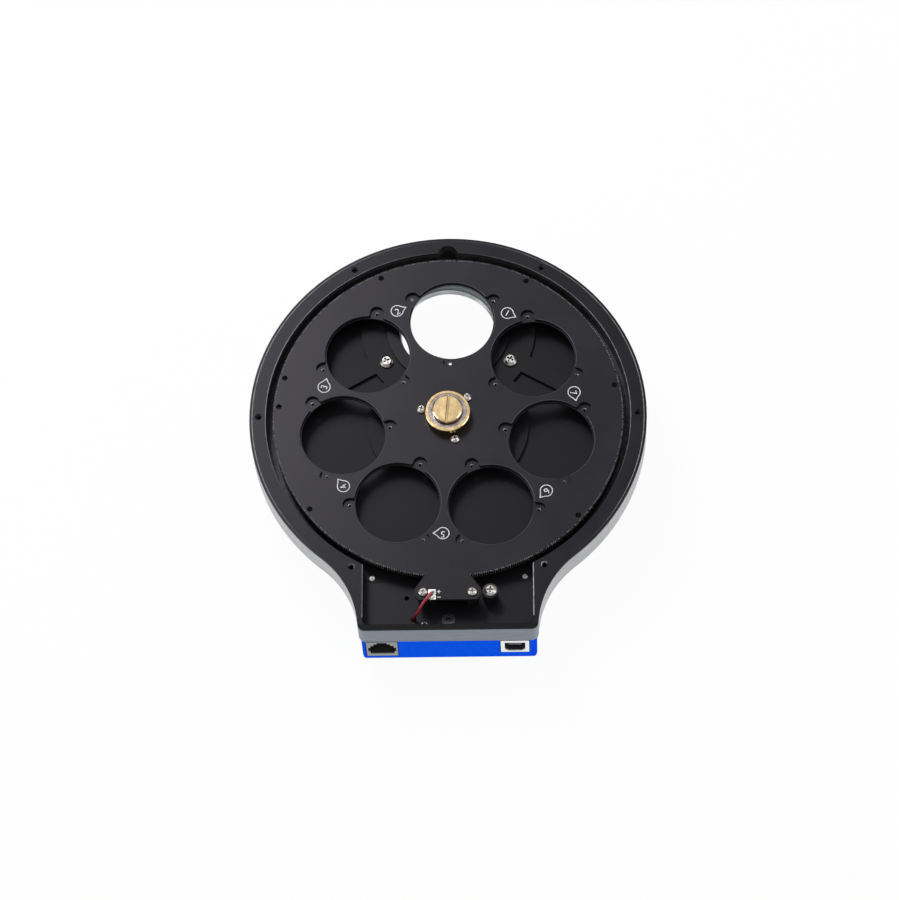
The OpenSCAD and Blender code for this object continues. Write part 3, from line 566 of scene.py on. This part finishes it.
# Grid of rings of points: each ring joins the next, and the last the first where looped
def ringFaces(rings, sides, looped):
    faces = []
    for i in range(rings if looped else rings - 1):
        for k in range(sides):
            a, b = i * sides, (i + 1) % rings * sides
            faces.append([a + k, a + (k + 1) % sides, b + (k + 1) % sides, b + k])
    if not looped:
        faces.append(list(range(sides)))
        faces.append(list(range((rings - 1) * sides, rings * sides)))
    return faces


# A closed outline of radius and height turned about an upright axis
def turnedMesh(name, outline, centre=(0, 0), steps=96):
    points = []
    for i in range(steps):
        turn = 2 * math.pi * i / steps
        for r, z in outline:
            points.append((centre[0] + r * math.cos(turn), centre[1] + r * math.sin(turn), z))
    return solidMesh(name, points, ringFaces(steps, len(outline), looped=True))


# A flat ribbon between an outer and an inner outline of as many points
def ribbonMesh(name, outer, inner, low, high):
    points = [(x, y, z) for z, line in ((low, outer), (high, outer), (high, inner), (low, inner))
        for x, y in line]
    return solidMesh(name, points, ringFaces(4, len(outer), looped=True))


# A flat plate over one outline
def plateMesh(name, outline, low, high):
    points = [(x, y, z) for z in (low, high) for x, y in outline]
    return solidMesh(name, points, ringFaces(2, len(outline), looped=False))


# Rectangle about a middle
def boxLine(cx, cy, halfX, halfY):
    return [(cx - halfX, cy - halfY), (cx + halfX, cy - halfY), (cx + halfX, cy + halfY),
        (cx - halfX, cy + halfY)]


# One mesh out of several, which are used up
def joined(name, meshes):
    shape = bmesh.new()
    for mesh in meshes:
        shape.from_mesh(mesh)
        bpy.data.meshes.remove(mesh)
    whole = bpy.data.meshes.new(name)
    shape.to_mesh(whole)
    shape.free()
    return whole


# Gives a piece its finish and body, and hides the frame's nodes that it stands in for
def seat(piece, body, finish, slotName, *nodes):
    piece.data.materials.clear()
    piece.data.materials.append(finish)
    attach(piece, body)
    if nodes:
        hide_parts(*nodes)


# Runs the ring recipe on a source mesh and returns the copies as one plain mesh
def ringMesh(name, sourceMesh, finish, count, radius, firstTurn=0.0, copyTurn=0.0):
    source = newPiece(name + "Source", sourceMesh)
    holder = newPiece(name + "Holder", bpy.data.meshes.new(name + "Holder"))
    modifier = ringOfCopies.dress(holder, {"Source": source, "Finish": finish, "Count": count,
        "Radius": radius * mm, "First Turn": firstTurn, "Copy Turn": copyTurn})
    depsgraph = bpy.context.evaluated_depsgraph_get()
    mesh = bpy.data.meshes.new_from_object(holder.evaluated_get(depsgraph))
    holder.modifiers.remove(modifier)
    bpy.data.objects.remove(holder)
    bpy.data.objects.remove(source)
    return mesh


weldGap = 0.002 * mm  # corners of a frame node closer than this become one
for part in frame["record"]["subparts"]:
    node = frame["nodes"][part["node"]]
    node.data.materials.clear()
    node.data.materials.append(finishes[part["material_slot"]])
    softShade.dress(node, {"Merge Distance": weldGap, "Sharp Turn": smoothTurn})
frame["nodes"]["box_screws"].data.materials[0] = dullScrew
print("nodes finished:", len(frame["nodes"]))


wheel = {
    "top": -1.0, "seats": 7, "seatCircle": 45.0, "restTurn": math.radians(90 - 2.17),
    "lobes": 3, "lobeCircle": 20.0, "lobeFirst": math.radians(60),
}
seatStep = 2 * math.pi / wheel["seats"]
# A droplet with a number in it stands between each two seats, and the first one made is number 2.
# digitShare is a digit's height over the size of its font.
marker = {
    "circle": 54.3, "round": 2.75, "tip": 4.4, "lean": math.radians(31), "line": 0.37, "raise": 0.02,
    "sunk": 0.01, "steps": 40, "digit": 2.85, "firstNumber": 2, "digitShare": 0.7, "digitSteps": 6,
    "tipTurn": -math.pi / 2,
}


# Outline of a droplet with its tip along +X: a circle whose two sides run out straight to the tip
def dropletLine(inset):
    body = marker["round"] - inset
    tip = marker["tip"] - inset * 2
    step = 2 * (math.pi - marker["lean"]) / marker["steps"]
    turns = [marker["lean"] + step * i for i in range(marker["steps"] + 1)]
    return [(tip, 0)] + [(body * math.cos(t), body * math.sin(t)) for t in turns]


# A number in the middle of a droplet, standing a little proud of the wheel
def digitMesh(text, turn, place):
    curve = bpy.data.curves.new("digit" + text, "FONT")
    curve.body = text
    curve.size = marker["digit"] * mm / marker["digitShare"]
    curve.align_x = "CENTER"
    curve.align_y = "CENTER"
    curve.extrude = marker["raise"] * mm
    curve.resolution_u = marker["digitSteps"]
    holder = newPiece("digit" + text, curve)
    depsgraph = bpy.context.evaluated_depsgraph_get()
    mesh = bpy.data.meshes.new_from_object(holder.evaluated_get(depsgraph))
    bpy.data.objects.remove(holder)
    middle = sum((v.co for v in mesh.vertices), Vector()) / len(mesh.vertices)
    middle.z = 0
    mesh.transform(Matrix.Translation(Vector(place) * mm) @ Matrix.Rotation(turn, 4, "Z")
        @ Matrix.Translation(-middle))
    return mesh


def makeMarkers():
    firstTurn = wheel["restTurn"] + seatStep / 2
    low, high = wheel["top"] - marker["sunk"], wheel["top"] + marker["raise"]
    droplet = ribbonMesh("droplet", dropletLine(0), dropletLine(marker["line"]), low, high)
    mesh = ringMesh("dropletMarks", droplet, markFinish, wheel["seats"], marker["circle"],
        firstTurn, marker["tipTurn"])
    seat(newPiece("dropletMarks", mesh), "carousel_body", markFinish, "carousel_anodised")
    digits = []
    for i in range(wheel["seats"]):
        number = (marker["firstNumber"] - 1 + i) % wheel["seats"] + 1
        turn = firstTurn + i * seatStep
        place = (marker["circle"] * math.cos(turn), marker["circle"] * math.sin(turn), wheel["top"])
        digits.append(digitMesh(str(number), turn + marker["tipTurn"], place))
    seat(newPiece("markerDigits", joined("markerDigits", digits)), "carousel_body", markFinish,
        "carousel_anodised")


makeMarkers()
print("markers done")


# Threads that line bare holes: each hole's radius, and the thread's top level, depth, pitch and ridge
thread = {
    "steps": 24, "ringSteps": 160, "sunk": 0.01, "root": 0.02,
    "lobe": {"hole": 0.8, "top": -2.55, "depth": 0.75, "pitch": 0.25, "ridge": 0.16},
    "cover": {"hole": 1.05, "top": -0.6, "depth": 1.5, "pitch": 0.4, "ridge": 0.18},
    "adapter": {"hole": 20.6, "top": -13.05, "depth": 3.4, "pitch": 0.85, "ridge": 0.4},
    "spare": {"hole": 1.25, "top": -9.3, "depth": 1.6, "pitch": 0.4, "ridge": 0.3},
    "coverCircle": 80.0, "coverCount": 6, "sparePlace": (-9.96, -91.7),
}


# A threaded sleeve against a hole's wall, from its top level down
def sleeveMesh(name, sizes, centre, steps):
    r, top, pitch = sizes["hole"], sizes["top"], sizes["pitch"]
    low = top - sizes["depth"]
    outline = [(r + thread["sunk"], low), (r + thread["sunk"], top)]
    for i in range(round(sizes["depth"] / pitch)):
        z = top - i * pitch
        outline += [(r - thread["root"], z), (r - sizes["ridge"], z - pitch / 2)]
    outline.append((r - thread["root"], low))
    return turnedMesh(name, outline, centre, steps)


def makeThreads():
    bright, black = finishes["bright_screw"], finishes["black_screw"]
    lobe = sleeveMesh("sleeve", thread["lobe"], (0, 0), thread["steps"])
    trio = ringMesh("lobeTrio", lobe, bright, wheel["lobes"], wheel["lobeCircle"], wheel["lobeFirst"])
    mesh = ringMesh("lobeThreads", trio, bright, wheel["seats"], wheel["seatCircle"], wheel["restTurn"])
    seat(newPiece("lobeThreads", mesh), "carousel_body", bright, "bright_screw")
    cover = sleeveMesh("coverSleeve", thread["cover"], (0, 0), thread["steps"])
    mesh = ringMesh("coverThreads", cover, black, thread["coverCount"], thread["coverCircle"])
    seat(newPiece("coverThreads", mesh), "frame", black, "bright_screw")
    mesh = sleeveMesh("adapterThread", thread["adapter"], lightPath, thread["ringSteps"])
    seat(newPiece("adapterThread", mesh), "frame", finishes["adapter_aluminium"], "adapter_aluminium")
    mesh = sleeveMesh("spareInsert", thread["spare"], thread["sparePlace"], thread["steps"])
    seat(newPiece("spareInsert", mesh), "frame", finishes["tinned_pad"], "bright_screw")


makeThreads()
print("threads done")


# Radii and levels in mm
hub = {
    "radius": 9.45, "bore": 8.0, "inner": 6.5, "flange": 14.0, "flangeLow": -5.6, "flangeTop": -3.6,
    "seat": -1.4, "top": 3.8, "edge": 0.3, "lip": 0.1,
}
axle = {
    "head": 6.2, "top": 6.0, "low": 4.0, "edge": 0.4, "body": 3.98, "shoulder": -1.4, "tip": 3.0,
    "tipLow": -9.8, "core": 0.02, "slotTurn": math.radians(85), "slotWide": 1.1, "slotDeep": 1.0,
    "slotPast": 1, "sharpTurn": math.radians(30),
}


# Turned brass ring that carries the wheel
def makeHub():
    h = hub
    outline = [(h["inner"], h["flangeLow"]), (h["flange"], h["flangeLow"]), (h["flange"], h["flangeTop"]),
        (h["radius"], h["flangeTop"]), (h["radius"], h["top"] - h["edge"]),
        (h["radius"] - h["edge"], h["top"]), (h["bore"] + h["lip"], h["top"]),
        (h["bore"], h["top"] - h["lip"]), (h["bore"], h["seat"]), (h["inner"], h["seat"])]
    seat(newPiece("brassHub", turnedMesh("brassHub", outline)), "carousel_body", finishes["hub_brass"],
        "hub_brass", "hub")


# Slotted screw that the bearing turns on
def makeAxleScrew():
    a = axle
    outline = [(a["core"], a["tipLow"]), (a["tip"], a["tipLow"]), (a["tip"], a["shoulder"]),
        (a["body"], a["shoulder"]), (a["body"], a["low"]), (a["head"], a["low"]),
        (a["head"], a["top"] - a["edge"]), (a["head"] - a["edge"], a["top"]), (a["core"], a["top"])]
    screw = newPiece("slottedAxleScrew", turnedMesh("slottedAxleScrew", outline))
    line = boxLine(0, 0, a["head"] + a["slotPast"], a["slotWide"] / 2)
    cutter = newPiece("slotCutter", plateMesh("slotCutter", line, a["top"] - a["slotDeep"],
        a["top"] + a["slotPast"]))
    cutter.data.transform(Matrix.Rotation(a["slotTurn"], 4, "Z"))
    cut = screw.modifiers.new("slot", "BOOLEAN")
    cut.operation = "DIFFERENCE"
    cut.object = cutter
    depsgraph = bpy.context.evaluated_depsgraph_get()
    mesh = bpy.data.meshes.new_from_object(screw.evaluated_get(depsgraph))
    screw.modifiers.remove(cut)
    bpy.data.objects.remove(cutter)
    mesh.shade_smooth()
    mesh.set_sharp_from_angle(angle=a["sharpTurn"])
    screw.data = mesh
    seat(screw, "frame", finishes["hub_brass"], "hub_brass", "axle_screw")


makeHub()
makeAxleScrew()
print("hub and axle screw done")


shield = {
    "inner": 5.5, "dipEnd": 5.9, "flatStart": 6.1, "outer": 6.86, "top": 3.42, "thick": 0.2, "dip": 0.12,
}


# Steel ring over the bearing's balls, dished at its inner edge
def makeShield():
    s = shield
    dipTop = s["top"] - s["dip"]
    low, bottom = dipTop - s["thick"], s["top"] - s["thick"]
    outline = [(s["inner"], low), (s["dipEnd"], low), (s["flatStart"], bottom), (s["outer"], bottom),
        (s["outer"], s["top"]), (s["flatStart"], s["top"]), (s["dipEnd"], dipTop), (s["inner"], dipTop)]
    seat(newPiece("bearingShield", turnedMesh("bearingShield", outline)), "carousel_body",
        shieldFinish, "bearing_steel")


makeShield()
print("bearing shield done")


boardTop = 1.3  # the face that the pads and marks lie on
pads = {
    "left": -8.0, "right": -4.9, "plus": (-82.9, -80.5), "minus": (-85.0, -83.2), "thick": 0.06,
    "corner": 0.35,
}
# Each mound of solder or flux: its place, how far it reaches along X and Y, and its height
mounds = {
    "plusSolder": ((-6.2, -81.9, 1.34), (1.15, 0.85), 0.75),
    "minusSolder": ((-6.3, -84.1, 1.34), (1.2, 0.7), 0.5),
    "solderFlux": ((-6.15, -82.0, 2.0), (0.62, 0.42), 0.22),
    "rings": 7, "sides": 20, "lopside": 0.08, "lopsideTurn": 0.7,
}


# Rectangle with rounded corners
def roundedLine(x0, x1, y0, y1, r, steps=5):
    line = []
    corners = [(x1 - r, y0 + r, -90), (x1 - r, y1 - r, 0), (x0 + r, y1 - r, 90), (x0 + r, y0 + r, 180)]
    for cx, cy, start in corners:
        for i in range(steps + 1):
            turn = math.radians(start + 90 * i / steps)
            line.append((cx + r * math.cos(turn), cy + r * math.sin(turn)))
    return line


# A low mound, oval and a little lopsided
def moundMesh(name):
    place, reach, height = mounds[name]
    rings, sides = mounds["rings"], mounds["sides"]
    points = []
    for i in range(rings):
        lift = math.pi / 2 * i / rings
        for k in range(sides):
            turn = 2 * math.pi * k / sides
            lobes = math.sin(2 * turn + mounds["lopsideTurn"])
            spread = math.cos(lift) * (1 + mounds["lopside"] * lobes)
            points.append((place[0] + reach[0] * spread * math.cos(turn),
                place[1] + reach[1] * spread * math.sin(turn), place[2] + height * math.sin(lift)))
    return solidMesh(name, points, ringFaces(rings, sides, looped=False))


def makePads():
    p = pads
    plates = []
    for label in ("plus", "minus"):
        line = roundedLine(p["left"], p["right"], p[label][0], p[label][1], p["corner"])
        plates.append(plateMesh(label + "Pad", line, boardTop, boardTop + p["thick"]))
    seat(newPiece("leadPads", joined("leadPads", plates)), "frame", finishes["tinned_pad"], "tinned_pad",
        "lead_pad")
    solder = [moundMesh("plusSolder"), moundMesh("minusSolder")]
    seat(newPiece("solderMounds", joined("solderMounds", solder)), "frame", finishes["tinned_pad"],
        "tinned_pad")


makePads()
print("pads done")


# Bars of the + and - marks: middle, half length along X and Y, and how far they stand proud
marks = {
    "plusAcross": ((-3.6, -81.55), (0.72, 0.17), 0.03),
    "plusDown": ((-3.6, -81.55), (0.17, 0.72), 0.032),
    "minusAcross": ((-3.6, -84.05), (0.72, 0.17), 0.03),
}


def makeMarks():
    bars = [plateMesh(label, boxLine(*middle, *half), boardTop, boardTop + proud)
        for label, (middle, half, proud) in marks.items()]
    seat(newPiece("polarityMarks", joined("polarityMarks", bars)), "frame", markFinish,
        "sensor_board_black")


makeMarks()
print("marks done")


# The lead runs from its pad over the board's edge and down through a hole in the floor
lead = {
    "radius": 0.6, "sides": 16, "steps": 6, "bareRadius": 0.36, "bareSides": 12,
    "route": [(-6.7, -82.3, 1.95), (-7.8, -83.8, 2.3), (-8.9, -85.3, 2.3), (-10.1, -86.5, 1.4),
        (-11.3, -87.9, -0.6), (-12.5, -89, -3.2), (-13.7, -89.5, -6.2), (-14.4, -89.6, -9.2),
        (-14.4, -89.6, -12), (-14.4, -89.6, -15)],
    "bareRoute": [(-6.9, -82.55, 2.0), (-6.5, -82.05, 1.85), (-6.1, -81.6, 1.6)],
}


# Points on a smooth curve through the route
def smoothRoute(route, steps):
    knots = [Vector(p) for p in route]
    line = []
    for i in range(len(knots) - 1):
        a, b = knots[max(i - 1, 0)], knots[i]
        c, d = knots[i + 1], knots[min(i + 2, len(knots) - 1)]
        for k in range(steps):
            t = k / steps
            line.append(0.5 * (2 * b + (c - a) * t + (2 * a - 5 * b + 4 * c - d) * t ** 2
                + (3 * b - a - 3 * c + d) * t ** 3))
    return line + [knots[-1]]


# A round tube along a line, with every ring begun from the same direction, so that it isn't twisted
def tubeMesh(name, line, radius, sides):
    points = []
    for i, spot in enumerate(line):
        ahead = (line[min(i + 1, len(line) - 1)] - line[max(i - 1, 0)]).normalized()
        side = ahead.cross(Vector((1, -1, 0))).normalized()
        up = side.cross(ahead)
        for k in range(sides):
            turn = 2 * math.pi * k / sides
            points.append(spot + radius * (math.cos(turn) * side + math.sin(turn) * up))
    return solidMesh(name, points, ringFaces(len(line), sides, looped=False))


# The insulated lead down to its hole, its bare end on the pad and a dark drop of flux
def makeLead():
    line = smoothRoute(lead["route"], lead["steps"])
    mesh = tubeMesh("redLead", line, lead["radius"], lead["sides"])
    seat(newPiece("redLead", mesh), "frame", finishes["lead_red"], "lead_red", "red_lead")
    bare = [Vector(p) for p in lead["bareRoute"]]
    mesh = tubeMesh("leadEnd", bare, lead["bareRadius"], lead["bareSides"])
    seat(newPiece("leadEnd", mesh), "frame", finishes["tinned_pad"], "tinned_pad")
    seat(newPiece("solderFlux", moundMesh("solderFlux")), "frame", finishes["sensor_board_black"],
        "tinned_pad")


makeLead()
print("lead done")


# Where the camera stands, its three axes and its width of view in degrees
camera = {
    "place": (44.8, -690.9, 1442.5), "right": (0.99953, -0.00018, -0.03062),
    "up": (0.01312, 0.90599, 0.42309), "ahead": (-0.02767, 0.4233, -0.90557), "width": 13.5028,
    "reach": 20,
}


def makeCamera():
    lens = bpy.data.cameras.new("camera")
    lens.sensor_fit = "HORIZONTAL"
    lens.angle = math.radians(camera["width"])
    lens.clip_end = camera["reach"]
    eye = bpy.data.objects.new("camera", lens)
    bpy.context.scene.collection.objects.link(eye)
    axes = Matrix((camera["right"], camera["up"], [-a for a in camera["ahead"]])).transposed()
    eye.matrix_world = Matrix.Translation(Vector(camera["place"]) * mm) @ axes.to_4x4()
    bpy.context.scene.camera = eye


# The floor is in mm; lamps stand in metres and shine in watts. The key casts the shadows, and the
# panel is the sheen on the black anodising.
studio = {
    "floorSize": 6000, "floorThick": 4.98, "floorGap": 0.02, "floorWhite": (0.82, 0.82, 0.82, 1),
    "floorShade": 0.98, "floorCloud": 90, "floorLevels": (0.2, 0.8), "floorGlow": 0.95, "skyFill": 0.42,
    "keyPlace": (-0.36, 0.66, 0.86), "keySize": 0.42, "keyPower": 5.0,
    "panelPlace": (-0.33, 0.49, 1.01), "panelSize": 0.3, "panelPower": 4.5,
    "sidePlace": (1.5, -0.35, 0.25), "sideSize": 1.1, "sidePower": 9.0,
}


# 1 for the rays that show the floor or the sky itself, straight or mirrored
def seenRay(wiring):
    path = wiring.add("ShaderNodeLightPath").socket.node.outputs
    seen = Signal(wiring, path["Is Camera Ray"]).most(Signal(wiring, path["Is Glossy Ray"]))
    return seen.most(Signal(wiring, path["Is Transmission Ray"]))


# Matt white that takes the shadow, and nearly all glow where a ray shows the floor itself
def makeFloor():
    finish = Finish("floorWhite")
    cloud = finish.noise(studio["floorCloud"]).ease(*studio["floorLevels"])
    tone = finish.mix(cloud, studio["floorWhite"], darker(studio["floorWhite"], studio["floorShade"]))
    matt = finish.add("ShaderNodeBsdfDiffuse", {}, {"Color": tone})
    glow = finish.add("ShaderNodeEmission", {}, {"Color": (1, 1, 1, 1), "Strength": 1.0})
    share = seenRay(finish) * studio["floorGlow"]
    look = finish.add("ShaderNodeMixShader", {}, {0: share, 1: matt, 2: glow})
    finish.add("ShaderNodeOutputMaterial", {}, {"Surface": look})
    half = studio["floorSize"] / 2
    top = cadBox[0][2] / mm - studio["floorGap"]
    mesh = plateMesh("floor", boxLine(0, 0, half, half), top - studio["floorThick"], top)
    mesh.materials.append(finish.material)
    newPiece("floor", mesh)


# White where a ray shows the sky itself, and dimmer as a light on the matt surfaces
def makeSky():
    world = bpy.data.worlds.new("studioSky")
    bpy.context.scene.world = world
    world.use_nodes = True
    sky = Wiring(world.node_tree)
    sky.tree.nodes.clear()
    seen = seenRay(sky)
    strength = seen * (1 - studio["skyFill"]) + studio["skyFill"]
    light = sky.add("ShaderNodeBackground", {}, {"Color": (1, 1, 1, 1), "Strength": strength})
    sky.add("ShaderNodeOutputWorld", {}, {"Surface": light})


# A round lamp that faces the wheel's hub
def makeLamp(name, place, size, power):
    lamp = bpy.data.lights.new(name, "AREA")
    lamp.shape = "DISK"
    lamp.size = size
    lamp.energy = power
    holder = bpy.data.objects.new(name, lamp)
    bpy.context.scene.collection.objects.link(holder)
    holder.location = place
    holder.rotation_euler = Vector(place).to_track_quat("Z", "Y").to_euler()


makeCamera()
makeFloor()
makeSky()
for label in ("key", "panel"):
    makeLamp(label + "Lamp", studio[label + "Place"], studio[label + "Size"], studio[label + "Power"])
sideX, sideY, sideZ = studio["sidePlace"]
for side, sign in (("right", 1), ("left", -1)):
    makeLamp(side + "Lamp", (sign * sideX, sideY, sideZ), studio["sideSize"], studio["sidePower"])
bpy.context.scene.view_settings.view_transform = "Standard"
print("studio done")
